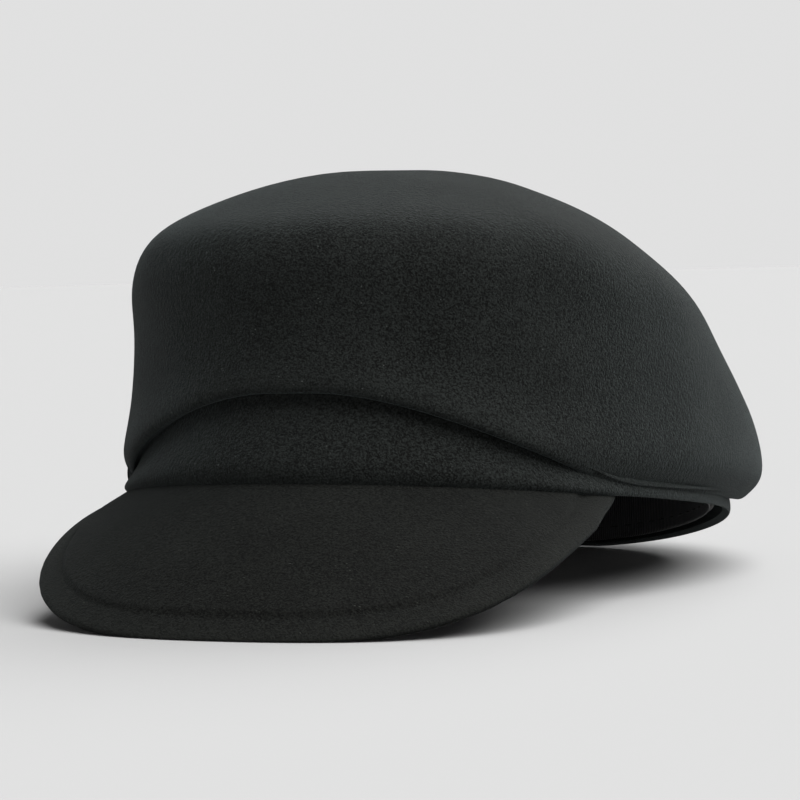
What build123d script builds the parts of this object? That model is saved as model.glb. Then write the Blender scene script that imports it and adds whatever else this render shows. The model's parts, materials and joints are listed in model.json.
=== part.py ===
from build123d import *
from math import atan2, cos, degrees, radians, sin
import os

# A newsboy cap blocked from wool felt, size 58: one hood of felt, a drooping visor on a board, and a
# grosgrain sweatband inside. Millimetres. The cap is drawn as worn, with the rim in the plane z = 0,
# the front towards -Y and the wearer's left towards +X, and is then laid down as it stands on a table:
# on the tip of its visor and the nape of its rim.

# Head opening: an oval, measured outside the felt.
rim_half_length = 103.0
rim_half_width = 86.5
nape_dip = 9.7              # the rim falls this much towards the nape
felt = 2.4

# Crown, above the rim and beyond it.
crown_height = 99.0
front_overhang = 7.0
back_overhang = 19.0
side_overhang = 7.5

# Form of the crown from its fold to its top. Each row is a level section: its height as a share of
# the crown's height, its reach to the front, back and side, and how far behind the middle it is
# widest, as a share of the rim's half length. A reach of 1 is the rim's own, and 2 is the widest:
# what is above 1 is a share of the overhang there.
crown_form = [
    (0.03, 1.00, 1.94, 1.00, 0.08),
    (0.12, 1.00, 2.00, 2.00, 0.12),
    (0.28, 0.993, 1.48, 1.50, 0.12),
    (0.46, 1.53, 0.924, 0.978, 0.00),
    (0.61, 2.00, 0.70, 0.924, -0.18),
    (0.73, 1.53, 0.486, 0.815, -0.28),
    (0.83, 0.833, 0.343, 0.641, -0.25),
    (0.91, 0.587, 0.19, 0.456, -0.20),
    (0.97, 0.31, 0.024, 0.228, -0.15),
    (0.995, 0.214, -0.071, 0.098, -0.14),
]

# Visor: part of a drooping cone, wider and further forward the lower it gets.
visor_reach = 40.0          # its front edge stands this far in front of the rim
visor_drop = 40.0           # and this far below it
visor_spread = 54.0         # how much wider the cone is at that drop
visor_slide = 36.0          # how much further forward
visor_curl = 0.32           # 0 is a straight cone; more makes it steeper towards the edge
visor_end_angle = 60.0      # the visor meets the rim this far round from the front
visor_slope = 45.0          # the edge is cut square to this slope
visor_side_run = 22.0       # length of the nearly straight side beside each end
visor_side_swell = 1.0
visor_squareness = 0.64     # 0.55 is a round front edge, 1 a square one
top_felt = 1.5
board = 1.2
under_felt = 1.3
margin = 9.0                # the board stops this far inside the edge
board_fit = 0.05            # air round the board in its pocket
visor_gap = 0.6             # air between the visor and the rim, so that the visor can flex

# Sweatband and the strip behind it.
band_gap = 2.0              # air between the felt and the strip
stiffener = 0.8
ribbon_gap = 0.1
ribbon = 1.0
ribbon_height = 30.0
ribbon_setback = 1.5        # from the felt's cut edge to the ribbon's lower edge
stiffener_setback = 1.0     # the strip is this much narrower than the ribbon at each edge

# Thread.
thread = 0.6
stitch_length = 3.6
stitch_pitch = 6.0
stitch_sink = 0.3           # half of the thread lies in the felt
edge_stitch_inset = 6.5     # from the visor's edge, in the margin beside the board
seam_stitch_setback = 2.4   # from the rim, under the rolled edge of the band
seam_end_angle = 7.0        # the row stops this far short of the visor's ends
rim_stitch_rise = 3.0       # from the ribbon's lower edge

# Bow and label.
bow_width = 20.0
bow_height = 8.0
bow_waist = 4.0
bow_rise = 14.0             # centre of the bow above the ribbon's lower edge
bow_thickness = 0.8
label_width = 22.0
label_height = 26.0
label_thickness = 0.4
label_angle = -32.0         # round from the nape, towards the wearer's right
label_gap = 0.8             # air between the label's sides and the ribbon
label_drop = 3.5            # the label's top edge, below the ribbon's upper edge
tack_length = 5.0
tack_rise = 1.0             # above the label's top edge

rest_press = 0.4            # the felt is flattened this much where the cap rests

# A box larger than the cap.
big = 4 * (rim_half_length + rim_half_width)


def half_ovals(front, back, side, widest=0.0, level=0.0):
    """A level closed wire of two half ellipses, which meet at the widest place."""
    centre = Plane((0, widest, level))
    rear = EllipticalCenterArc((0, 0), side, back - widest, 0, arc_size=180)
    fore = EllipticalCenterArc((0, 0), side, front + widest, 180, arc_size=180)
    return Wire([centre * rear, centre * fore])


def rim_oval(inset=0.0, level=0.0):
    """The head opening's oval, drawn in from the outside of the felt."""
    length = rim_half_length - inset
    return half_ovals(length, length, rim_half_width - inset, 0, level)


def upright(wire, height):
    """A solid standing on a level wire."""
    return extrude(Face(wire), height, dir=(0, 0, 1))


def reach(form, rim, overhang):
    """How far out a form number of the crown lies."""
    return rim * min(form, 1) + overhang * max(form - 1, 0)


def crown_levels():
    """The crown's level sections, as height, front, back, side and widest place."""
    levels = [(0.0, rim_half_length, rim_half_length, rim_half_width, 0.0)]
    for rise, front, back, side, widest in crown_form:
        levels.append((
            rise * crown_height,
            reach(front, rim_half_length, front_overhang),
            reach(back, rim_half_length, back_overhang),
            reach(side, rim_half_width, side_overhang),
            widest * rim_half_length,
        ))
    return levels


def drawn_in(levels, wall):
    """The same sections moved inwards by a wall, square to the mean slope of the side and the back."""
    inner = []
    for number, (height, front, back, side, widest) in enumerate(levels):
        below = levels[max(number - 1, 0)]
        above = levels[min(number + 1, len(levels) - 1)]
        spread = (above[3] + above[2] - below[3] - below[2]) / 2
        lean = atan2(-spread, above[0] - below[0])
        inward = wall * cos(lean)
        inner.append((height - wall * sin(lean), front - inward, back - inward, side - inward, widest))
    return inner


def hood_shape(levels, skirt):
    """The filled shape of the hood: a straight skirt, the underside of the fold, and the crown."""
    wires = [half_ovals(*level[1:], level[0]) for level in levels]
    fold = Solid.make_loft(wires[:2], ruled=True)
    crown = Solid.make_loft(wires[1:], ruled=False)
    foot = half_ovals(*levels[0][1:], levels[0][0] - skirt)
    return upright(foot, skirt) + fold + crown


def below_rim(rise=0.0):
    """All space under the rim's edge, which is level in front and falls in an arc to the nape."""
    radius = (rim_half_length**2 + nape_dip**2) / (2 * nape_dip)
    turn = 2 * degrees(atan2(nape_dip, rim_half_length))
    with BuildSketch(Plane.YZ) as side_view:
        with BuildLine():
            level = Line((-big, 0), (0, 0))
            dip = CenterArc((0, -radius), radius, 90, -turn)
            tail = Line(dip @ 1, (big, (dip @ 1).Y))
            Polyline(tail @ 1, (big, -big), (-big, -big), level @ 0)
        make_face()
    return Pos(0, 0, rise) * extrude(side_view.sketch, big, both=True)


def ring(outer_inset, thickness):
    """A tall upright ring that follows the head opening."""
    low = -nape_dip - felt
    high = ribbon_height + ribbon_setback
    outer = upright(rim_oval(outer_inset, low), high - low)
    return outer - upright(rim_oval(outer_inset + thickness, low), high - low)


def strip(outer_inset, thickness, lower, upper):
    """A band inside the rim, between two heights above the rim's edge."""
    return (ring(outer_inset, thickness) & below_rim(upper)) - below_rim(lower)


# Hood.
outside = crown_levels()
hood_skirt = nape_dip + felt
felt_hood = hood_shape(outside, hood_skirt) - hood_shape(drawn_in(outside, felt), hood_skirt + 2 * felt)
felt_hood = felt_hood - below_rim()

# Strip and sweatband.
stiffener_inset = felt + band_gap
ribbon_inset = stiffener_inset + stiffener + ribbon_gap
ribbon_face = ribbon_inset + ribbon
ribbon_top = ribbon_setback + ribbon_height
band_stiffener = strip(
    stiffener_inset, stiffener, ribbon_setback + stiffener_setback, ribbon_top - stiffener_setback
)
sweatband = strip(ribbon_inset, ribbon, ribbon_setback, ribbon_top)


# Visor.
def visor_cone(drop=0.0):
    """The space under the visor's upper surface, moved down by a drop."""
    wires = []
    for share in (-0.1, 0.0, 0.35, 0.7, 1.0, 1.25):
        slide = visor_slide * share
        length = rim_half_length + (visor_reach - visor_slide) * share
        side = rim_half_width + visor_spread * share
        depth = visor_drop * share * (1 - visor_curl * (1 - share))
        wires.append(half_ovals(length + slide, length - slide, side, -slide, -depth - drop))
    return Solid.make_loft(wires, ruled=False)


def visor_outline(inset=0.0):
    """The visor's edge from end to end, drawn on the pattern plane."""
    lean = radians(visor_slope)
    end_x = rim_half_width * sin(radians(visor_end_angle)) - inset
    end_run = rim_half_length * cos(radians(visor_end_angle)) * cos(lean)
    tip_run = (rim_half_length + visor_reach) * cos(lean) + visor_drop * sin(lean) - inset
    side_x = end_x + visor_side_swell
    side_run = end_run + visor_side_run
    side = Line((end_x, -end_run), (side_x, -side_run))
    front = Bezier(
        (side_x, -side_run),
        (side_x, -side_run - visor_squareness * (tip_run - side_run)),
        (visor_squareness * side_x, -tip_run),
        (0, -tip_run),
    )
    return Wire([side, front, front.mirror(Plane.YZ), side.mirror(Plane.YZ)])


def visor_block(inset=0.0):
    """A block with the visor's outline, cut square to its slope."""
    edge = visor_outline(inset)
    back = Line(edge @ 1, edge @ 0)
    return extrude(pattern_plane * Face(Wire([*edge.edges(), back])), big / 2, both=True)


def beyond_rim(clearance):
    """All space outside the head opening."""
    return Box(big, big, big) - upright(rim_oval(-clearance, -big / 2), big)


def visor_layer(upper, lower):
    """A sheet of the cone between two depths, measured square to the visor's slope."""
    steep = 1 / cos(radians(visor_slope))
    return visor_cone(upper * steep) - visor_cone(lower * steep)


visor_lean = radians(visor_slope)
pattern_plane = Plane((0, 0, 0), x_dir=(1, 0, 0), z_dir=(0, -sin(visor_lean), cos(visor_lean)))
visor_thickness = top_felt + board + under_felt
board_top = top_felt
board_base = top_felt + board
board_setback = margin / 2
visor_blank = visor_block() & beyond_rim(visor_gap)
board_blank = visor_block(margin) & beyond_rim(board_setback)
pocket = visor_layer(board_top, board_base) & board_blank
visor_top_felt = visor_layer(0, board_top) & visor_blank
visor_under_felt = (visor_layer(board_top, visor_thickness) & visor_blank) - pocket
visor_board = visor_layer(board_top + board_fit, board_base - board_fit)
visor_board &= visor_block(margin + board_fit) & beyond_rim(board_setback + board_fit)


# Thread.
def lockstitch(depth):
    """One stitch: a thread on the face z = 0, its leg down through the layers, and the thread behind."""
    half = stitch_length / 2
    back = stitch_pitch - stitch_length + thread
    outline = Polyline(
        (-half, thread - stitch_sink),
        (half, thread - stitch_sink),
        (half, -depth + stitch_sink),
        (half - thread + back, -depth + stitch_sink),
        (half - thread + back, -depth + stitch_sink - thread),
        (half - thread, -depth + stitch_sink - thread),
        (half - thread, -stitch_sink),
        (-half, -stitch_sink),
        close=True,
    )
    return extrude(Plane.XZ * Face(Wire(outline.edges())), thread / 2, both=True)


def evenly(wire, pitch):
    """Places and directions along a wire, one pitch apart, clear of its two ends."""
    count = round(wire.length / pitch)
    for number in range(count):
        share = (number + 0.5) / count
        yield wire @ share, wire % share


def from_rim(point):
    """Roughly how far outside the head opening a point is."""
    share = ((point.X / rim_half_width) ** 2 + (point.Y / rim_half_length) ** 2) ** 0.5
    return (share - 1) * rim_half_width


def visor_stitches(line, plane, setback):
    """A row of stitches through the visor, under a line drawn on a plane above it."""
    row = []
    for spot, direction in evenly(line, stitch_pitch):
        above = plane.from_local_coords(spot) + plane.z_dir * big / 4
        for point, normal in visor_top_felt.find_intersection_points(Axis(above, -plane.z_dir))[:1]:
            if from_rim(point) > setback:
                heading = plane.x_dir * direction.X + plane.y_dir * direction.Y
                stitch = lockstitch(visor_thickness)
                row.append(Plane(point, x_dir=heading, z_dir=normal) * stitch)
    return Compound(row)


visor_edge_stitches = visor_stitches(
    visor_outline(edge_stitch_inset), pattern_plane, seam_stitch_setback + stitch_pitch
)
seam_angle = visor_end_angle - seam_end_angle
seam_line = EllipticalCenterArc(
    (0, 0),
    rim_half_width + seam_stitch_setback,
    rim_half_length + seam_stitch_setback,
    -90 - seam_angle,
    arc_size=2 * seam_angle,
)
visor_seam_stitches = visor_stitches(seam_line, Plane.XY, visor_gap)


def rim_level(y):
    """Height of the rim's edge."""
    radius = (rim_half_length**2 + nape_dip**2) / (2 * nape_dip)
    return (radius**2 - max(y, 0) ** 2) ** 0.5 - radius


def on_ribbon(spot, direction, rise, stand_off=0.0):
    """A plane on the sweatband's face: x along the band, y down, z into the cap."""
    into = Vector(0, 0, 1).cross(direction).normalized()
    origin = Vector(spot.X, spot.Y, rim_level(spot.Y) + ribbon_setback + rise) + into * stand_off
    return Plane(origin, x_dir=direction, z_dir=into)


ribbon_line = rim_oval(ribbon_face)
rim_stitch_depth = ribbon_face - felt / 2
sweatband_stitches = Compound([
    on_ribbon(spot, direction, rim_stitch_rise) * lockstitch(rim_stitch_depth)
    for spot, direction in evenly(ribbon_line, stitch_pitch)
])

# Bow: two loops and a knot, sewn flat over the joint of the ribbon at the nape.
bow_centre = rim_level(rim_half_length) + ribbon_setback + bow_rise
bow_outline = Polyline(
    (bow_width / 2, bow_height / 2),
    (0, bow_waist / 2),
    (-bow_width / 2, bow_height / 2),
    (-bow_width / 2, -bow_height / 2),
    (0, -bow_waist / 2),
    (bow_width / 2, -bow_height / 2),
    close=True,
)
bow_place = Plane((0, 0, bow_centre), x_dir=(1, 0, 0), z_dir=(0, -1, 0))
bow_loops = extrude(bow_place * Face(Wire(bow_outline.edges())), -big / 2)
bow_knot = extrude(bow_place * Rectangle(bow_waist, bow_waist + 2 * bow_thickness), -big / 2)
sweatband_bow = bow_loops & ring(ribbon_face, bow_thickness)
sweatband_bow += bow_knot & ring(ribbon_face, 2 * bow_thickness)

# Care label: a flap that hangs from its sewn top edge, with two bar tacks above it.
label_turn = radians(label_angle)
label_spot = Vector(
    (rim_half_width - ribbon_face) * sin(label_turn), (rim_half_length - ribbon_face) * cos(label_turn)
)
label_way = Vector(
    -(rim_half_width - ribbon_face) * cos(label_turn), (rim_half_length - ribbon_face) * sin(label_turn)
).normalized()
label_rise = ribbon_height - label_drop
label_bulge = (label_width / 2) ** 2 * rim_half_length / (2 * rim_half_width**2)
label_plane = on_ribbon(label_spot, label_way, label_rise, label_bulge + label_gap)
care_label = label_plane * Pos(0, label_height / 2, label_thickness / 2) * Box(
    label_width, label_height, label_thickness
)
tack_plane = on_ribbon(label_spot, label_way, label_rise + tack_rise)
tack = Box(tack_length, thread, label_bulge + thread + stitch_sink)
tack_side = (label_width - tack_length) / 2
tack_middle = (label_bulge + thread - stitch_sink) / 2
care_label_stitches = Compound([
    tack_plane * Pos(side * tack_side, 0, tack_middle) * tack for side in (-1, 1)
])

pieces = {
    "felt_hood": felt_hood,
    "band_stiffener": band_stiffener,
    "sweatband": sweatband,
    "sweatband_stitches": sweatband_stitches,
    "sweatband_bow": sweatband_bow,
    "care_label": care_label,
    "care_label_stitches": care_label_stitches,
    "visor_top_felt": visor_top_felt,
    "visor_board": visor_board,
    "visor_under_felt": visor_under_felt,
    "visor_edge_stitches": visor_edge_stitches,
    "visor_seam_stitches": visor_seam_stitches,
}


# Rest: tip the cap back until the visor's tip and the nape stand on one table.
def lowest(piece, tilt):
    """The lowest point of a piece when the cap is tipped back."""
    return (Rot(-tilt, 0, 0) * piece).bounding_box().min.Z


tilt = 0.0
for _ in range(4):
    step = lowest(felt_hood, tilt) - lowest(visor_under_felt, tilt)
    tilt += degrees(atan2(step, 2 * rim_half_length + visor_reach))
tipped = [Rot(-tilt, 0, 0) * piece for piece in (felt_hood, visor_under_felt)]
reach = Compound(tipped).bounding_box()
rest = Pos(0, -reach.center().Y, -reach.min.Z - rest_press) * Rot(-tilt, 0, 0)
table = Pos(0, 0, -big / 2) * Box(big, big, big)

os.makedirs("parts", exist_ok=True)
for name, piece in pieces.items():
    placed = rest * piece
    if name in ("felt_hood", "visor_under_felt"):
        placed -= table
    export_step(placed, f"parts/{name}.step")
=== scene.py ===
import json
from math import asin, atan2, cos, degrees, exp, hypot, pi, radians, sin, sqrt

import bmesh
import bpy
from mathutils import Matrix, Vector, noise
from mathutils.kdtree import KDTree


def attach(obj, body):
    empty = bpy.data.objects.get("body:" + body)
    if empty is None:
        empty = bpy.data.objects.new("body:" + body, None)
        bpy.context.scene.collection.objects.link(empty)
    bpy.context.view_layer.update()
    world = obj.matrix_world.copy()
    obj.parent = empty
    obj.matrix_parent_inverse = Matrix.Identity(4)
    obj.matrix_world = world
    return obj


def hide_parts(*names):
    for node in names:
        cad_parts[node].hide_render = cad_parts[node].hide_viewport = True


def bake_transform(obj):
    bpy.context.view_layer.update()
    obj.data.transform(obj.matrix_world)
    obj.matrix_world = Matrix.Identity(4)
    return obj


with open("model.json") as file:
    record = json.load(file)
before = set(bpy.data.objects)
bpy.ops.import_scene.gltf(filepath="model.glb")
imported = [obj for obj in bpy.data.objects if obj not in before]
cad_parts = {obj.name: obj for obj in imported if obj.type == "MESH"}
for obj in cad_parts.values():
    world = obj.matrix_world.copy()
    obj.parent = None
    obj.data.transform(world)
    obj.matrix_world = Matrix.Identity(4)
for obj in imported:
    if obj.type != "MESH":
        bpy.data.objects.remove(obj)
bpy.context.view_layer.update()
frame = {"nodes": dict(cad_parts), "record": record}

# A newsboy cap blocked from black wool felt. Every piece is drawn as the cap is worn, in millimetres,
# with the rim in the plane z = 0, the front towards -Y and the wearer's left towards +X. The mount
# "head_opening" gives the rim's place on the table.
MM = 0.001

mounts = {mount["name"]: mount for mount in frame["record"]["mounts"]}
opening = mounts["head_opening"]
rim_centre = Vector(opening["pos_m"])
rim_up = -Vector(opening["axis"])
rim_tilt = atan2(rim_up.y, rim_up.z)
to_table = Matrix.Translation(rim_centre) @ Matrix.Rotation(-rim_tilt, 4, "X") @ Matrix.Scale(MM, 4)

# The felt is pressed flat where it stands on the table, this far above it.
table_gap = 0.3

# Head opening and felt: half the length and width of the rim's oval, how far its cut edge dips at the
# nape, and the thickness of the hood's felt.
rim_length = 103.0
rim_width = 86.5
nape_dip = 9.7
felt = 2.4

# Crown: level sections from the fold to the top, as height, reach to the front, back and side, and
# how far behind the middle each is widest.
crown_rows = [
    (3.0, 103.0, 121.0, 86.0, 8.0),
    (12.0, 103.5, 122.0, 92.5, 12.0),
    (28.0, 104.0, 113.5, 90.5, 12.0),
    (45.5, 107.5, 96.5, 85.5, 0.0),
    (60.5, 111.0, 73.5, 81.0, -18.5),
    (72.0, 108.0, 51.5, 71.0, -29.0),
    (82.0, 88.0, 35.5, 56.0, -26.0),
    (90.0, 61.0, 19.5, 39.5, -21.0),
    (95.7, 32.0, 2.5, 19.5, -15.0),
    (97.6, 15.0, -15.0, 0.0, -15.0),
]

# The top edge of the crown is rounder in the middle of the front than at its corners.
front_round = 4.5
front_round_level = 77.0
front_round_height = 10.0

# Fold between the band and the crown: high in front, almost on the rim at the sides and the back. It
# falls and rises again between these degrees from the front.
fold_front = 23.5
fold_side = 2.0
fold_back = 9.0
fold_falls = (4, 66)
fold_rises = (95, 150)
fold_puff = 2.6
fold_droop = 2.2

# Visor: part of a drooping cone, in two layers of felt, pressed thinner round its margin.
visor_reach = 40.0
visor_drop = 40.0
visor_spread = 54.0
visor_slide = 36.0
visor_curl = 0.32
visor_end = radians(60.0)
visor_lean = radians(45.0)
visor_side_run = 22.0
visor_side_swell = 1.0
visor_squareness = 0.69
visor_extra = 2.2
visor_thickness = 4.0
visor_layer = 2.0
layer_gap = 0.02
visor_margin = 9.0
margin_press = 0.75
margin_groove = 0.35
groove_width = 0.9
edge_rounding = 1.6

# Ribbon inside the rim, and the bow over its joint.
ribbon_face = 6.3
ribbon = 0.9
ribbon_height = 30.0
ribbon_setback = 1.5
ribbon_ease = 0.25
rib_pitch = 0.9
warp_pitch = 0.35
bow_rise = 14.0
bow_reach = 10.0
bow_height = 4.2
bow_waist = 2.0
bow_swell = 0.9
bow_ribbon = 0.45

# Thread and label.
thread = 0.6
stitch_length = 3.6
stitch_pitch = 6.0
edge_stitch_inset = 6.5
seam_stitch_share = 0.045
band_stitch_rise = 3.0
tack_length = 5.0
tack_strands = 5
tack_pitch = 0.28
label_width = 22.0
label_height = 26.0
label_angle = radians(-32.0)
label_rise = 26.5
label_gap = 0.8
label_fold = 3.2
label_fold_stand = 0.42
label_bulge = (label_width / 2) ** 2 * rim_length / (2 * rim_width**2)


def blend(a, b, share):
    return a + (b - a) * share


def ramp(value, low, high):
    """0 below low, 1 above high, and smooth between."""
    share = min(max((value - low) / (high - low), 0.0), 1.0)
    return share * share * (3 - 2 * share)


# ---------------------------------------------------------------- forms

def rim_point(turn, out=0.0, z=0.0):
    """A point on the rim's oval, a turn round from the front, moved outwards."""
    side = sin(turn) / rim_width
    fore = -cos(turn) / rim_length
    size = hypot(side, fore)
    x = rim_width * sin(turn) + out * side / size
    y = -rim_length * cos(turn) + out * fore / size
    return Vector((x, y, z))


def rim_drop(y):
    """Height of the rim's cut edge, this far behind the middle."""
    radius = (rim_length**2 + nape_dip**2) / (2 * nape_dip)
    return sqrt(radius**2 - max(y, 0.0) ** 2) - radius


def rim_level(turn):
    return rim_drop(-rim_length * cos(turn))


def fold_level(turn):
    """Height of the fold's lowest line."""
    away = abs(degrees(turn))
    front = blend(fold_front, fold_side, ramp(away, *fold_falls))
    return front + (fold_back - fold_side) * ramp(away, *fold_rises)


def crown_row(t):
    """The crown's section at a place between its rows, on a smooth curve through them. Past the top
    the curve goes on as the row before it, turned over the top."""
    last = len(crown_rows) - 1
    step = min(int(t), last - 1)
    share = t - step
    rows = []
    for number in range(step - 1, step + 3):
        if number < 0:
            rows.append([2 * a - b for a, b in zip(crown_rows[0], crown_rows[1])])
        elif number > last:
            z, *reaches = crown_rows[last - 1]
            rows.append([z] + [2 * top - reach for top, reach in zip(crown_rows[last][1:], reaches)])
        else:
            rows.append(crown_rows[number])
    values = []
    for a, b, c, d in zip(*rows):
        values.append(0.5 * (
            2 * b + (c - a) * share + (2 * a - 5 * b + 4 * c - d) * share**2
            + (3 * b - a - 3 * c + d) * share**3
        ))
    return values


def crown_point(turn, t):
    z, front, back, side, widest = crown_row(t)
    near_edge = exp(-(((z - front_round_level) / front_round_height) ** 2))
    reach = front + widest - front_round * cos(turn) ** 3 * near_edge
    if cos(turn) < 0:
        reach = back - widest
    return Vector((side * sin(turn), widest - reach * cos(turn), z))


def crown_start(turn):
    """Where on the crown's rows the fold begins."""
    level = fold_level(turn)
    t = 0.0
    while t < 4 and crown_row(t)[0] < level:
        t += 0.02
    return t


def visor_point(turn, share):
    """A point on the visor's upper face: share 0 is on the rim and 1 on the cone's full drop."""
    slide = visor_slide * share
    length = rim_length + (visor_reach - visor_slide) * share
    side = rim_width + visor_spread * share
    z = -visor_drop * share * (1 - visor_curl * (1 - share))
    return Vector((side * sin(turn), -length * cos(turn) - slide, z))


def visor_pattern():
    """The visor's outline on its sloping pattern plane, from one end to the tip: half width and run."""
    end_x = rim_width * sin(visor_end)
    end_run = rim_length * cos(visor_end) * cos(visor_lean)
    side_x = end_x + visor_side_swell + visor_extra
    side_run = end_run + visor_side_run
    tip = (rim_length + visor_reach) * cos(visor_lean) + visor_drop * sin(visor_lean) + visor_extra
    full = side_run + visor_squareness * (tip - side_run)
    corners = ((side_x, side_run), (side_x, full), (visor_squareness * side_x, tip), (0, tip))
    outline = [(end_x, end_run)]
    for number in range(121):
        t = number / 120
        weights = ((1 - t) ** 3, 3 * t * (1 - t) ** 2, 3 * t * t * (1 - t), t**3)
        outline.append(tuple(sum(w * c[axis] for w, c in zip(weights, corners)) for axis in (0, 1)))
    return outline


visor_outline = visor_pattern()
visor_edges = {}


def beyond_outline(point):
    """Whether a point on the cone lies outside the visor's outline."""
    run = -(point.y * cos(visor_lean) + point.z * sin(visor_lean))
    if run >= visor_outline[-1][1]:
        return True
    for (x, low), (next_x, high) in zip(visor_outline, visor_outline[1:]):
        if run < high:
            share = (run - low) / max(high - low, 1e-6)
            return abs(point.x) > blend(x, next_x, max(share, 0.0))
    return True


def visor_edge(turn):
    """How far down the cone the visor's edge lies."""
    key = round(turn, 6)
    if key not in visor_edges:
        low, high = 0.0, 1.3
        for _ in range(18):
            middle = (low + high) / 2
            if beyond_outline(visor_point(turn, middle)):
                high = middle
            else:
                low = middle
        visor_edges[key] = low if abs(turn) < visor_end * 0.9999 else 0.0
    return visor_edges[key]


# ---------------------------------------------------------------- making pieces

def smooth_object(name, bm, material, body, slot, *nodes):
    """Put a finished shape on the table as a piece that stands for CAD nodes. A piece of the body
    "seam" is left without a body, its place baked into its mesh."""
    bm.transform(to_table)
    for vert in bm.verts:
        vert.co.z = max(vert.co.z, table_gap * MM)
    mesh = bpy.data.meshes.new(name)
    bm.to_mesh(mesh)
    bm.free()
    for face in mesh.polygons:
        face.use_smooth = True
    piece = bpy.data.objects.new(name, mesh)
    bpy.context.scene.collection.objects.link(piece)
    mesh.materials.append(material)
    if body == "seam":
        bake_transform(piece)
    else:
        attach(piece, body)
    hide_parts(*nodes)
    return piece


def rings(bm, count, rows, place, closed_top=True):
    """Grow a shell ring by ring from a circle, and put every ring where place(row, turn) says."""
    made = bmesh.ops.create_circle(bm, cap_ends=False, segments=count, radius=1.0)
    ring = made["verts"]
    ring.sort(key=lambda vert: atan2(vert.co.x, -vert.co.y))
    turns = [atan2(vert.co.x, -vert.co.y) for vert in ring]
    edges = list(dict.fromkeys(edge for vert in ring for edge in vert.link_edges))
    grown = [ring]
    for vert, turn in zip(ring, turns):
        vert.co = place(0, turn)
    for row in range(1, rows):
        old = {vert: number for number, vert in enumerate(ring)}
        made = bmesh.ops.extrude_edge_only(bm, edges=edges)
        new = [item for item in made["geom"] if isinstance(item, bmesh.types.BMVert)]
        edges = [item for item in made["geom"] if isinstance(item, bmesh.types.BMEdge)
                 and all(vert in new for vert in item.verts)]
        ordered = [None] * count
        for vert in new:
            below = next(edge.other_vert(vert) for edge in vert.link_edges if edge.other_vert(vert) in old)
            ordered[old[below]] = vert
        ring = ordered
        grown.append(ring)
        for vert, turn in zip(ring, turns):
            vert.co = place(row, turn)
    if closed_top:
        bmesh.ops.pointmerge(bm, verts=ring, merge_co=place(rows - 1, 0.0))
    return grown


def mark(mesh, name, values):
    """Keep one number per vertex, for a material to read."""
    layer = mesh.attributes.new(name, "FLOAT", "POINT")
    layer.data.foreach_set("value", values)


def finish_modifiers(piece, thickness=None, levels=1, edge=None):
    """Round a piece off: smooth it, give it its wall, and ease the wall's cut edges."""
    if levels:
        smooth = piece.modifiers.new("smooth", "SUBSURF")
        smooth.levels = levels
        smooth.render_levels = levels
    if thickness:
        wall = piece.modifiers.new("wall", "SOLIDIFY")
        wall.thickness = thickness * MM
        wall.offset = -1
    if edge:
        ease = piece.modifiers.new("ease", "BEVEL")
        ease.width = edge * MM
        ease.segments = 2
        ease.limit_method = "ANGLE"
        ease.angle_limit = radians(50)


# ---------------------------------------------------------------- materials

def group_input(tree, name, kind, value):
    socket = tree.interface.new_socket(name, in_out="INPUT", socket_type=kind)
    if value is not None:
        socket.default_value = value


def maths(tree, operation, a, b=None, clamp=False):
    node = tree.nodes.new("ShaderNodeMath")
    node.operation = operation
    node.use_clamp = clamp
    for number, value in enumerate((a, b)):
        if value is None:
            continue
        if isinstance(value, (int, float)):
            node.inputs[number].default_value = value
        else:
            tree.links.new(value, node.inputs[number])
    return node.outputs[0]


def noise_node(tree, place, scale, detail, roughness=0.5):
    node = tree.nodes.new("ShaderNodeTexNoise")
    node.inputs["Scale"].default_value = scale
    node.inputs["Detail"].default_value = detail
    node.inputs["Roughness"].default_value = roughness
    tree.links.new(place, node.inputs["Vector"])
    return node.outputs["Fac"]


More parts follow.
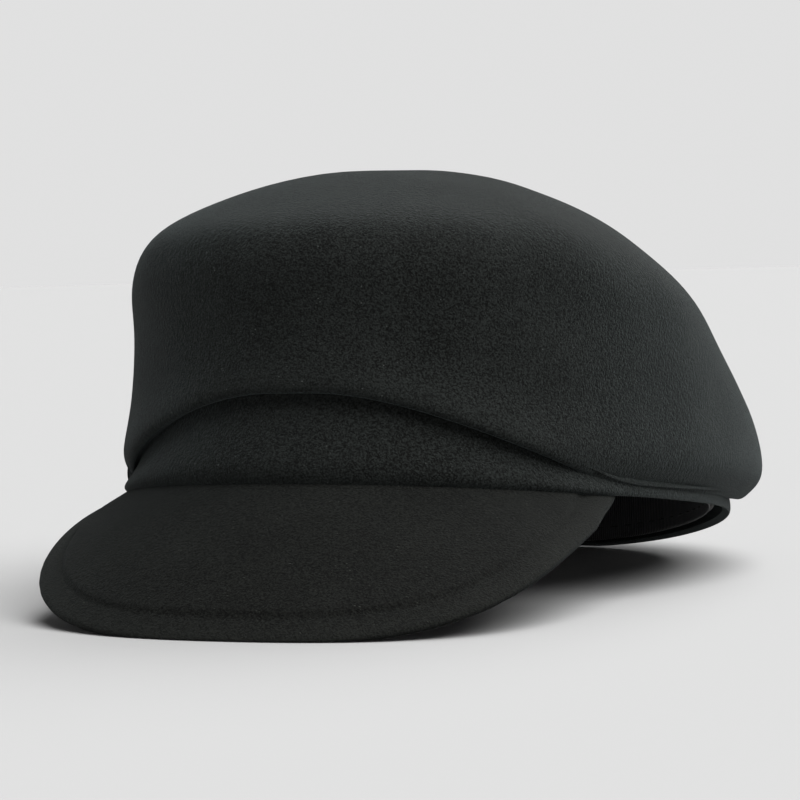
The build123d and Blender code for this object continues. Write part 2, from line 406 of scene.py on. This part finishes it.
def nap_group():
    """Pressed felt: clouding in the dye, matted fibres, a nap height, and sparse bright fibre ends."""
    tree = bpy.data.node_groups.new("felt_nap", "ShaderNodeTree")
    group_input(tree, "Place", "NodeSocketVector", None)
    for name in ("Clouding", "Matting", "Lint", "Nap"):
        tree.interface.new_socket(name, in_out="OUTPUT", socket_type="NodeSocketFloat")
    enter = tree.nodes.new("NodeGroupInput")
    leave = tree.nodes.new("NodeGroupOutput")
    place = enter.outputs["Place"]
    clouds = noise_node(tree, place, 38.0, 4.0, 0.6)
    matting = noise_node(tree, place, 1050.0, 4.0, 0.7)
    fine = noise_node(tree, place, 1900.0, 1.0, 0.5)
    stretch = tree.nodes.new("ShaderNodeMapping")
    stretch.inputs["Rotation"].default_value = (0.5, 0.9, 0.3)
    stretch.inputs["Scale"].default_value = (1.0, 3.2, 1.6)
    tree.links.new(place, stretch.inputs["Vector"])
    strands = noise_node(tree, stretch.outputs["Vector"], 900.0, 4.0, 0.7)
    lint_cells = tree.nodes.new("ShaderNodeTexVoronoi")
    lint_cells.feature = "F1"
    lint_cells.inputs["Scale"].default_value = 420.0
    tree.links.new(stretch.outputs["Vector"], lint_cells.inputs["Vector"])
    lint = tree.nodes.new("ShaderNodeMapRange")
    lint.inputs["From Min"].default_value = 0.16
    lint.inputs["From Max"].default_value = 0.04
    tree.links.new(lint_cells.outputs["Distance"], lint.inputs["Value"])
    sparse = tree.nodes.new("ShaderNodeMapRange")
    sparse.inputs["From Min"].default_value = 0.56
    sparse.inputs["From Max"].default_value = 0.72
    tree.links.new(noise_node(tree, place, 260.0, 2.0), sparse.inputs["Value"])
    lint_mask = maths(tree, "MULTIPLY", lint.outputs[0], sparse.outputs[0])
    mat = maths(tree, "ADD", maths(tree, "MULTIPLY", matting, 0.35), maths(tree, "MULTIPLY", strands, 0.15))
    mat = maths(tree, "ADD", mat, maths(tree, "MULTIPLY", fine, 0.5))
    nap = maths(tree, "ADD", maths(tree, "MULTIPLY", mat, 0.6), maths(tree, "MULTIPLY", matting, 0.4))
    nap = maths(tree, "ADD", nap, maths(tree, "MULTIPLY", lint_mask, 0.5))
    for name, value in zip(("Clouding", "Matting", "Lint", "Nap"), (clouds, mat, lint_mask, nap)):
        tree.links.new(value, leave.inputs[name])
    return tree


def rib_group():
    """Grosgrain: ribs across the ribbon from its own map, with fine warp threads over them."""
    tree = bpy.data.node_groups.new("grosgrain_ribs", "ShaderNodeTree")
    group_input(tree, "Map", "NodeSocketVector", None)
    group_input(tree, "Pitch", "NodeSocketFloat", rib_pitch * MM)
    for name in ("Rib", "Warp"):
        tree.interface.new_socket(name, in_out="OUTPUT", socket_type="NodeSocketFloat")
    enter = tree.nodes.new("NodeGroupInput")
    leave = tree.nodes.new("NodeGroupOutput")
    split = tree.nodes.new("ShaderNodeSeparateXYZ")
    tree.links.new(enter.outputs["Map"], split.inputs[0])
    turns = maths(tree, "DIVIDE", split.outputs["X"], enter.outputs["Pitch"])
    rib = maths(tree, "ABSOLUTE", maths(tree, "SINE", maths(tree, "MULTIPLY", turns, pi)))
    across = maths(tree, "DIVIDE", split.outputs["Y"], warp_pitch * MM)
    odd = maths(tree, "MULTIPLY", maths(tree, "FLOOR", turns), 0.5)
    threads = maths(tree, "ADD", across, odd)
    warp = maths(tree, "ABSOLUTE", maths(tree, "SINE", maths(tree, "MULTIPLY", threads, pi)))
    tree.links.new(rib, leave.inputs["Rib"])
    tree.links.new(warp, leave.inputs["Warp"])
    return tree


def new_material(name, colour, roughness):
    material = bpy.data.materials.new(name)
    material.use_nodes = True
    material.diffuse_color = (*colour, 1.0)
    shader = material.node_tree.nodes["Principled BSDF"]
    shader.inputs["Base Color"].default_value = (*colour, 1.0)
    shader.inputs["Roughness"].default_value = roughness
    shader.inputs["Specular IOR Level"].default_value = 0.3
    return material, material.node_tree, shader


def object_place(tree):
    return tree.nodes.new("ShaderNodeTexCoord").outputs["Object"]


def colour_mix(tree, share, low, high):
    node = tree.nodes.new("ShaderNodeMix")
    node.data_type = "RGBA"
    for name, value in (("A", low), ("B", high)):
        socket = next(item for item in node.inputs if item.name == name and item.type == "RGBA")
        if isinstance(value, tuple):
            socket.default_value = (*value, 1.0)
        else:
            tree.links.new(value, socket)
    tree.links.new(share, node.inputs["Factor"])
    return next(item for item in node.outputs if item.type == "RGBA")


def bump(tree, shader, height, distance, strength=1.0):
    node = tree.nodes.new("ShaderNodeBump")
    node.inputs["Strength"].default_value = strength
    node.inputs["Distance"].default_value = distance * MM
    tree.links.new(height, node.inputs["Height"])
    tree.links.new(node.outputs["Normal"], shader.inputs["Normal"])


def felt_material(name, dark, light, lint_colour, nap_depth, sheen):
    """Wool felt. The vertex mark worn lightens rubbed edges."""
    material, tree, shader = new_material(name, dark, 0.9)
    shader.inputs["Sheen Weight"].default_value = sheen
    shader.inputs["Specular IOR Level"].default_value = 0.1
    shader.inputs["Sheen Roughness"].default_value = 0.4
    shader.inputs["Sheen Tint"].default_value = (0.72, 0.86, 0.88, 1.0)
    nap = tree.nodes.new("ShaderNodeGroup")
    nap.node_tree = nap_tree
    tree.links.new(object_place(tree), nap.inputs["Place"])
    worn = tree.nodes.new("ShaderNodeAttribute")
    worn.attribute_name = "worn"
    cloud = maths(tree, "MULTIPLY", nap.outputs["Clouding"], 0.7)
    fibre = maths(tree, "MULTIPLY", nap.outputs["Matting"], 5.5)
    share = maths(tree, "SUBTRACT", maths(tree, "ADD", cloud, fibre), 2.65, clamp=True)
    share = maths(tree, "ADD", share, maths(tree, "MULTIPLY", worn.outputs["Fac"], 0.5), clamp=True)
    base = colour_mix(tree, share, dark, light)
    lint = maths(tree, "MULTIPLY", nap.outputs["Lint"], 0.8)
    tree.links.new(colour_mix(tree, lint, base, lint_colour), shader.inputs["Base Color"])
    rough = maths(tree, "ADD", maths(tree, "MULTIPLY", nap.outputs["Matting"], 0.25), 0.72, clamp=True)
    tree.links.new(rough, shader.inputs["Roughness"])
    bump(tree, shader, nap.outputs["Nap"], nap_depth)
    return material


def ribbon_material(name, dark, light):
    material, tree, shader = new_material(name, dark, 0.5)
    shader.inputs["Sheen Weight"].default_value = 0.25
    ribs = tree.nodes.new("ShaderNodeGroup")
    ribs.node_tree = rib_tree
    ribs.inputs["Pitch"].default_value = rib_pitch * MM
    own_map = tree.nodes.new("ShaderNodeUVMap")
    own_map.uv_map = "ribbon"
    tree.links.new(own_map.outputs["UV"], ribs.inputs["Map"])
    tree.links.new(colour_mix(tree, ribs.outputs["Rib"], dark, light), shader.inputs["Base Color"])
    rough = maths(tree, "SUBTRACT", 0.68, maths(tree, "MULTIPLY", ribs.outputs["Rib"], 0.22))
    tree.links.new(rough, shader.inputs["Roughness"])
    height = maths(tree, "ADD", ribs.outputs["Rib"], maths(tree, "MULTIPLY", ribs.outputs["Warp"], 0.3))
    bump(tree, shader, height, 0.25)
    return material


def woven_material(name, colour, light, roughness, scale, depth, sheen=0.1):
    """Thread, canvas, satin and board: fine crossed threads on the object's own place."""
    material, tree, shader = new_material(name, colour, roughness)
    shader.inputs["Sheen Weight"].default_value = sheen
    place = object_place(tree)
    waves = []
    for direction in ("X", "Z"):
        wave = tree.nodes.new("ShaderNodeTexWave")
        wave.bands_direction = direction
        wave.inputs["Scale"].default_value = scale
        wave.inputs["Distortion"].default_value = 1.5
        wave.inputs["Detail"].default_value = 2.0
        tree.links.new(place, wave.inputs["Vector"])
        waves.append(wave.outputs["Fac"])
    weave = maths(tree, "MULTIPLY", waves[0], waves[1])
    grain = noise_node(tree, place, 700.0, 3.0)
    share = maths(tree, "ADD", maths(tree, "MULTIPLY", weave, 0.6), maths(tree, "MULTIPLY", grain, 0.4))
    tree.links.new(colour_mix(tree, share, colour, light), shader.inputs["Base Color"])
    bump(tree, shader, share, depth)
    return material


nap_tree = nap_group()
rib_tree = rib_group()
black_felt = felt_material(
    "black_wool_felt", (0.0022, 0.0025, 0.0021), (0.0172, 0.0196, 0.0184), (0.14, 0.15, 0.14), 1.0, 0.08
)
# A darker copy of the black felt with less sheen, for the visor: painted shade, darker than the crown's felt
# in colour and not only in light.
visor_felt_painted_shade = felt_material(
    "black_felt_painted_shade", (0.0016, 0.0017, 0.0014), (0.0105, 0.0113, 0.0100), (0.12, 0.13, 0.11), 0.8, 0.028
)
black_ribbon = ribbon_material("black_grosgrain", (0.006, 0.006, 0.007), (0.022, 0.022, 0.024))
black_thread = woven_material("black_thread", (0.004, 0.004, 0.004), (0.016, 0.017, 0.016), 0.6, 900.0, 0.08)
white_satin = woven_material("white_satin", (0.62, 0.60, 0.56), (0.80, 0.79, 0.75), 0.38, 1400.0, 0.03, 0.3)
black_canvas = woven_material("black_canvas", (0.02, 0.02, 0.019), (0.06, 0.06, 0.056), 0.85, 500.0, 0.2)
grey_board = woven_material("grey_board", (0.05, 0.05, 0.05), (0.09, 0.09, 0.09), 0.8, 300.0, 0.05)


# ---------------------------------------------------------------- hood

def hood():
    """Crown, fold and band in one sheet of blocked felt."""
    around = 144
    band_rows = [
        # share of the band's height, how far out in front, and how far out elsewhere
        (0.00, -0.2, 0.0),
        (0.03, 1.2, 0.3),
        (0.14, 2.6, 0.5),
        (0.30, 2.3, 0.5),
        (0.50, 0.9, 0.3),
        (0.72, -0.4, 0.0),
        (0.90, -1.4, -0.8),
        (1.00, -1.6, -1.4),
    ]
    under_rows = [0.35, 0.72]
    crown_count = 34
    crown_lift = 0.05
    start = {}
    peak = len(crown_rows) - 1
    heart = Vector((0, -10, 20))

    def wrinkle(point, rise):
        """Soft hand-shaped unevenness of the crown, none at the band."""
        big = noise.noise(point * 0.017 + Vector((3.1, 0.4, 7.7)))
        small = noise.noise(point * 0.045 + Vector((9.3, 2.2, 1.1)))
        return (2.2 * big + 0.7 * small) * rise

    def place(row, turn):
        front = 1 - ramp(abs(degrees(turn)), 48, 66)
        level = fold_level(turn)
        crease = level + fold_droop + 0.8
        foot = rim_level(turn) - 0.8 * front
        if row < len(band_rows):
            share, out_front, out_else = band_rows[row]
            out = blend(out_else, out_front, front)
            return rim_point(turn, out, blend(foot, crease, share))
        key = round(turn, 5)
        if key not in start:
            start[key] = crown_start(turn)
        begin = start[key]
        fold_point = crown_point(turn, begin)
        outward = Vector((fold_point.x, fold_point.y, 0)).normalized()
        puff = fold_puff * (1 - 0.8 * ramp(abs(degrees(turn)), 30, 62))
        row -= len(band_rows)
        if row < len(under_rows):
            share = under_rows[row]
            inner = rim_point(turn, -1.4, crease)
            outer = fold_point + outward * puff * 0.6
            point = inner.lerp(outer, share)
            point.z = blend(crease, level, ramp(share, 0.0, 1.0)) - 0.4 * share
            return point
        row -= len(under_rows)
        share = row / (crown_count - 1)
        t = begin + crown_lift + (peak - begin - crown_lift) * share**1.12
        point = crown_point(turn, t)
        near_fold = exp(-(((point.z - level - 3.0) / 9.0) ** 2))
        point += outward * puff * near_fold
        rise = ramp(share, 0.0, 0.25) * (1 - ramp(share, 0.86, 1.0))
        return point + (point - heart).normalized() * wrinkle(point, rise)

    bm = bmesh.new()
    rows = len(band_rows) + len(under_rows) + crown_count
    grown = rings(bm, around, rows, place)
    bmesh.ops.recalc_face_normals(bm, faces=bm.faces)
    crown_first = len(band_rows) + len(under_rows)
    wear = {0: 0.9, 1: 0.35}
    wear.update({number: 0.28 for number in range(crown_first - 1, crown_first + 3)})
    worn = {vert: wear.get(number, 0.0) for number, ring in enumerate(grown[:-1]) for vert in ring}
    bm.verts.index_update()
    values = [worn.get(vert, 0.0) for vert in bm.verts]
    piece = smooth_object("felt_crown_and_band", bm, black_felt, "cap", "wool_felt", "felt_hood")
    mark(piece.data, "worn", values)
    finish_modifiers(piece, thickness=felt, levels=1, edge=0.5)


hood()


# ---------------------------------------------------------------- visor

def visor_rim_to_edge(turn, share):
    """A point on the visor's upper face: share 0 is on the rim and 1 on the visor's own edge."""
    return visor_point(turn, share * visor_edge(turn))


edge_samples = 400
edge_tree = KDTree(edge_samples + 1)
for number in range(edge_samples + 1):
    sample_turn = visor_end * (2 * number / edge_samples - 1)
    edge_tree.insert(visor_rim_to_edge(sample_turn, 1.0), number)
edge_tree.balance()


def edge_distance(point):
    return edge_tree.find(point)[2]


def visor_shell(name, upper, worn_edge):
    """One felt of the visor: a sheet from the rim to the edge, closed at its rim by its own wall."""
    across = 150
    down = 56
    slope_step = 0.01
    cone_length = 60.0
    tuck_rise, tuck_length = 0.8, 3.0
    bm = bmesh.new()

    def turn_and_share(column, row):
        spread = 2 * column / across - 1
        turn = visor_end * (0.75 * spread + 0.25 * sin(spread * pi / 2)) * 0.998
        share = row / down
        return turn, 1 - (1 - share) ** 1.15

    def face_depth(gap, outer):
        """How deep a face of this felt lies below the cone, at this distance from the visor's edge."""
        if not outer:
            return visor_layer
        press = 1 - ramp(gap, visor_margin - 1.6, visor_margin + 0.2)
        groove = exp(-(((gap - visor_margin + 1.0) / groove_width) ** 2))
        rounding = 1 - sqrt(max(0.0, 1 - (1 - min(gap / edge_rounding, 1.0)) ** 2))
        return margin_press * press + margin_groove * groove + rounding

    for outer in (True, False):
        made = bmesh.ops.create_grid(bm, x_segments=across, y_segments=down, size=1.0)
        verts = sorted(made["verts"], key=lambda vert: (round(vert.co.y, 5), round(vert.co.x, 5)))
        for number, vert in enumerate(verts):
            row, column = divmod(number, across + 1)
            turn, share = turn_and_share(column, row)
            share *= visor_edge(turn)
            top = visor_point(turn, share)
            deep = face_depth(edge_distance(top), outer)
            if not upper:
                deep = visor_thickness - deep if outer else visor_layer + layer_gap
            ahead = visor_point(turn, share + slope_step)
            beside = visor_point(turn + slope_step, share)
            normal = (beside - top).cross(ahead - top).normalized()
            if normal.z < 0:
                normal = -normal
            tuck = exp(-share * cone_length / tuck_length)
            vert.co = top - normal * deep + Vector((0, 0, tuck_rise * tuck))
    boundary = [edge for edge in bm.edges if edge.is_boundary]
    bmesh.ops.bridge_loops(bm, edges=boundary)
    bmesh.ops.remove_doubles(bm, verts=bm.verts, dist=0.02)
    bmesh.ops.dissolve_degenerate(bm, edges=bm.edges, dist=0.01)
    bmesh.ops.recalc_face_normals(bm, faces=bm.faces)
    bm.verts.index_update()
    values = [worn_edge * (1 - ramp(edge_distance(vert.co), 0.8, visor_margin)) for vert in bm.verts]
    node = "visor_top_felt" if upper else "visor_under_felt"
    # The visor's felts take the darker felt copy, whose colour paints the visor's shade.
    piece = smooth_object(name, bm, visor_felt_painted_shade, "seam", "wool_felt", node)
    mark(piece.data, "worn", values)
    finish_modifiers(piece, levels=1)


visor_shell("visor_upper_felt", True, 0.55)
visor_shell("visor_lower_felt", False, 0.3)


# ---------------------------------------------------------------- ribbon, bow and label

def ribbon_band():
    """The sweatband: a ribbon round the inside of the rim, with soft rolled selvedges."""
    around = 260
    # height share, and how far the ribbon's face stands off its line
    section = [(0.0, -0.35), (0.012, 0.1), (0.05, 0.12), (0.5, 0.0), (0.95, 0.12), (0.988, 0.1), (1.0, -0.35)]
    back = [(1.0, -0.65), (0.5, -ribbon), (0.0, -0.65)]
    loop = section + back
    bm = bmesh.new()

    def place(row, turn):
        share, stand = loop[row % len(loop)]
        ripple = 0.25 * noise.noise(Vector((sin(turn) * 3, cos(turn) * 3, 4.0)))
        lean = 0.2 * sin(turn * 5) * ramp(share, 0.5, 1.0)
        z = rim_level(turn) + ribbon_setback + ribbon_height * share
        return rim_point(turn, ribbon_ease - ribbon_face - stand - ripple - lean, z)

    rings(bm, around, len(loop) + 1, place, closed_top=False)
    bmesh.ops.remove_doubles(bm, verts=bm.verts, dist=0.001)
    bmesh.ops.recalc_face_normals(bm, faces=bm.faces)
    layer = bm.loops.layers.uv.new("ribbon")
    girth = pi * (rim_length + rim_width - 2 * ribbon_face) * MM
    for face in bm.faces:
        spots = [corner.vert.co for corner in face.loops]
        turns = [atan2(spot.x / rim_width, -spot.y / rim_length) for spot in spots]
        wrapped = max(turns) - min(turns) > pi
        for corner, turn in zip(face.loops, turns):
            if wrapped and turn < 0:
                turn += 2 * pi
            corner[layer].uv = (girth * turn / (2 * pi), corner.vert.co.z * MM)
    piece = smooth_object("grosgrain_sweatband", bm, black_ribbon, "cap", "grosgrain", "sweatband")
    finish_modifiers(piece, levels=1)


ribbon_band()


def bow_point(x, rise, stand):
    """A point on the sweatband's face at the nape, standing off it."""
    turn = pi - asin(x / (rim_width - ribbon_face))
    return rim_point(turn, -ribbon_face - stand, rim_level(turn) + ribbon_setback + rise)


def ribbon_bow():
    """Two flattened loops and a knot, over the ribbon's joint at the nape."""
    bm = bmesh.new()
    for side in (-1, 1):
        made = bmesh.ops.create_grid(bm, x_segments=12, y_segments=6, size=1.0)
        for vert in made["verts"]:
            along = (vert.co.x + 1) / 2
            high = vert.co.y * blend(bow_waist, bow_height, along**0.8) * (1 - 0.12 * ramp(along, 0.9, 1.0))
            stand = bow_swell * (0.35 + 0.65 * sin(pi * min(along, 0.98))) + 0.12 * cos(vert.co.y * 9)
            vert.co = bow_point(side * (1.0 + along * (bow_reach - 1.0)), high + bow_rise, stand)
    made = bmesh.ops.create_grid(bm, x_segments=8, y_segments=8, size=1.0)
    for vert in made["verts"]:
        stand = 1.0 + 1.1 * cos(vert.co.x * pi / 2)
        vert.co = bow_point(vert.co.x * 2.1, vert.co.y * 2.9 + bow_rise, stand)
    layer = bm.loops.layers.uv.new("ribbon")
    for face in bm.faces:
        for corner in face.loops:
            corner[layer].uv = (corner.vert.co.z * MM, corner.vert.co.x * MM)
    bmesh.ops.recalc_face_normals(bm, faces=bm.faces)
    for face in bm.faces:
        if face.normal.y > 0:
            face.normal_flip()
    piece = smooth_object("ribbon_bow", bm, black_ribbon, "cap", "grosgrain", "sweatband_bow")
    finish_modifiers(piece, thickness=bow_ribbon, levels=1)


ribbon_bow()


def ribbon_spot(angle):
    """The sweatband's face this far round from the nape, the way along it, and the way into the cap."""
    half_width = rim_width - ribbon_face
    half_length = rim_length - ribbon_face
    spot = Vector((half_width * sin(angle), half_length * cos(angle), 0))
    along = Vector((-half_width * cos(angle), half_length * sin(angle), 0)).normalized()
    spot.z = rim_drop(spot.y) + ribbon_setback
    return spot, along, Vector((0, 0, 1)).cross(along)


label_spot, label_way, label_into = ribbon_spot(label_angle)
label_top = label_spot + Vector((0, 0, label_rise)) + label_into * (label_bulge + label_gap)


def satin_label():
    """A blank satin label with a folded top edge and a slight curl at its foot."""
    bm = bmesh.new()
    for rows, height, stand in ((24, label_height, 0.0), (3, label_fold, label_fold_stand)):
        made = bmesh.ops.create_grid(bm, x_segments=16, y_segments=rows, size=1.0)
        for vert in made["verts"]:
            x = vert.co.x * label_width / 2
            drop = (1 - vert.co.y) / 2 * height
            curl = 1.6 * ramp(drop, 15, 27) + 0.22 * sin(x * 0.4 + 0.6) * ramp(drop, 3, 20)
            down = Vector((0, 0, -drop))
            vert.co = label_top + label_way * x + down + label_into * (stand + curl)
    bmesh.ops.recalc_face_normals(bm, faces=bm.faces)
    for face in bm.faces:
        if face.normal.dot(label_into) < 0:
            face.normal_flip()
    piece = smooth_object("satin_care_label", bm, white_satin, "care_label", "label_satin", "care_label")
    finish_modifiers(piece, thickness=0.3, levels=1)


satin_label()


# ---------------------------------------------------------------- thread

def evenly(points, pitch):
    """Places and directions along a line of points, one pitch apart, clear of its two ends."""
    lengths = [0.0]
    for a, b in zip(points, points[1:]):
        lengths.append(lengths[-1] + (b - a).length)
    count = round(lengths[-1] / pitch)
    step = 0
    for number in range(count):
        want = (number + 0.5) / count * lengths[-1]
        while lengths[step + 1] < want:
            step += 1
        a, b = points[step], points[step + 1]
        yield a.lerp(b, (want - lengths[step]) / (lengths[step + 1] - lengths[step])), (b - a).normalized()


def stitch(bm, spot, along, up, length=stitch_length, width=thread, sink=0.12):
    """One thread: a long drop lying in the felt, with both ends pulled down."""
    made = bmesh.ops.create_uvsphere(bm, u_segments=8, v_segments=6, radius=0.5)
    across = up.cross(along).normalized()
    for vert in made["verts"]:
        x, y, z = vert.co
        fall = (abs(z) * 2) ** 4 * width * 0.35
        vert.co = spot + along * (z * length) + across * (x * width) + up * (y * width * 0.9 - sink - fall)


def stitch_row(name, places, body, node, **sizes):
    bm = bmesh.new()
    for spot, along, up in places:
        stitch(bm, spot, along, up, **sizes)
    bmesh.ops.recalc_face_normals(bm, faces=bm.faces)
    smooth_object(name, bm, black_thread, body, "thread", node)


def visor_normal(turn, share):
    """The way out of the visor's upper face."""
    step = 0.004
    beside = visor_point(turn + step, share) - visor_point(turn - step, share)
    ahead = visor_point(turn, share + step) - visor_point(turn, max(share - step, 0.0))
    normal = beside.cross(ahead).normalized()
    return normal if normal.z > 0 else -normal


def margin_line(inset):
    """Places on the visor this far in from its edge: each one's turn and share."""
    line = []
    for number in range(241):
        turn = visor_end * (number / 120 - 1) * 0.995
        if edge_distance(visor_point(turn, 0.0)) < inset:
            continue
        low, high = 0.0, visor_edge(turn)
        for _ in range(18):
            middle = (low + high) / 2
            if edge_distance(visor_point(turn, middle)) > inset:
                low = middle
            else:
                high = middle
        line.append((turn, low))
    return line


def visor_places(line, pitch, rim_clearance):
    """Stitch places on the visor's upper and under faces, along a line of turns and shares."""
    points = [visor_point(turn, share) for turn, share in line]
    upper, under = [], []
    for spot, along in evenly(points, pitch):
        turn, share = line[min(range(len(points)), key=lambda number: (points[number] - spot).length)]
        normal = visor_normal(turn, share)
        if hypot(spot.x / rim_width, spot.y / rim_length) < 1 + rim_clearance / rim_width:
            continue
        press = margin_press if edge_distance(spot) < visor_margin - 1 else 0.0
        upper.append((spot - normal * press, along, normal))
        under.append((spot - normal * (visor_thickness - press) + along * pitch / 2, along, -normal))
    return upper + under


stitch_row(
    "visor_edge_thread", visor_places(margin_line(edge_stitch_inset), stitch_pitch, 8.0),
    "visor", "visor_edge_stitches", sink=0.4,
)
seam_line = [(visor_end * 0.8 * (number / 60 - 1), seam_stitch_share) for number in range(121)]
stitch_row(
    "visor_seam_thread", visor_places(seam_line, stitch_pitch, 0.0),
    "seam", "visor_seam_stitches", sink=0.2,
)
band_places = []
ribbon_line = [ribbon_spot(2 * pi * number / 360)[0] for number in range(361)]
for spot, along in evenly(ribbon_line, stitch_pitch):
    into = along.cross(Vector((0, 0, 1))).normalized()
    band_places.append((spot + Vector((0, 0, band_stitch_rise)), along, into))
stitch_row("sweatband_thread", band_places, "cap", "sweatband_stitches", sink=0.1)
tack_places = []
for side in (-1, 1):
    for strand in range(tack_strands):
        spot = label_spot + Vector((0, 0, label_rise + 0.5 + tack_pitch * strand))
        spot += label_way * side * (label_width - tack_length) / 2 + label_into * (label_bulge * 0.8)
        tack_places.append((spot, label_way, label_into))
stitch_row(
    "label_bar_tacks", tack_places, "cap", "care_label_stitches", length=tack_length, width=0.4, sink=0.0,
)


# ---------------------------------------------------------------- the CAD's own pieces

for node, material in (("band_stiffener", black_canvas), ("visor_board", grey_board)):
    part = frame["nodes"][node]
    part.data.materials.clear()
    part.data.materials.append(material)


# ---------------------------------------------------------------- studio

# The camera stands at the wearer's left front, a little above the table.
azimuth = radians(22.0)
height_angle = radians(4.67)
roll = radians(1.52)
distance = 0.904
towards = Vector((cos(height_angle) * sin(azimuth), -cos(height_angle) * cos(azimuth), sin(height_angle)))
side_way = Vector((cos(azimuth), sin(azimuth), 0))
high_way = towards.cross(side_way)
view_right = side_way * cos(roll) - high_way * sin(roll)
view_up = side_way * sin(roll) + high_way * cos(roll)
eye = rim_centre + towards * distance
target = rim_centre + view_right * -0.00993 + view_up * 0.03068
away = (eye - target).normalized()
right = (view_right - away * view_right.dot(away)).normalized()
camera_data = bpy.data.cameras.new("camera")
camera_data.lens = 136.0
camera_data.clip_start = 0.01
camera = bpy.data.objects.new("camera", camera_data)
camera.matrix_world = Matrix.Translation(eye) @ Matrix((right, away.cross(right), away)).transposed().to_4x4()
bpy.context.scene.collection.objects.link(camera)
bpy.context.scene.camera = camera

floor_bm = bmesh.new()
bmesh.ops.create_circle(floor_bm, cap_ends=True, segments=96, radius=14.0)
floor_mesh = bpy.data.meshes.new("studio_floor")
floor_bm.to_mesh(floor_mesh)
floor_bm.free()
floor = bpy.data.objects.new("studio_floor", floor_mesh)
floor_mesh.materials.append(new_material("pale_paper", (0.4, 0.4, 0.4), 1.0)[0])
bpy.context.scene.collection.objects.link(floor)


def soft_sun(name, direction, strength, width):
    """Even light from an azimuth round from the front and a height angle, as wide as a large diffuser."""
    turn, rise = (radians(angle) for angle in direction)
    way = Vector((cos(rise) * sin(turn), -cos(rise) * cos(turn), sin(rise)))
    data = bpy.data.lights.new(name, "SUN")
    data.angle = radians(width)
    data.energy = strength
    light = bpy.data.objects.new(name, data)
    light.matrix_world = way.to_track_quat("Z", "Y").to_matrix().to_4x4()
    bpy.context.scene.collection.objects.link(light)


soft_sun("key", (68, 56), 4.7, 60)
soft_sun("back", (168, 45), 2.2, 50)
world = bpy.data.worlds.new("studio")
world.use_nodes = True
tree = world.node_tree
sky = tree.nodes["Background"]
direction = tree.nodes.new("ShaderNodeSeparateXYZ")
tree.links.new(tree.nodes.new("ShaderNodeTexCoord").outputs["Generated"], direction.inputs[0])
rise = tree.nodes.new("ShaderNodeMapRange")
rise.inputs["From Min"].default_value = 0.1
rise.inputs["From Max"].default_value = 0.24
tree.links.new(direction.outputs["Z"], rise.inputs["Value"])
tree.links.new(colour_mix(tree, rise.outputs[0], (0.75, 0.75, 0.75), (0.1, 0.1, 0.1)), sky.inputs["Color"])
bpy.context.scene.world = world
bpy.context.scene.view_settings.view_transform = "Standard"
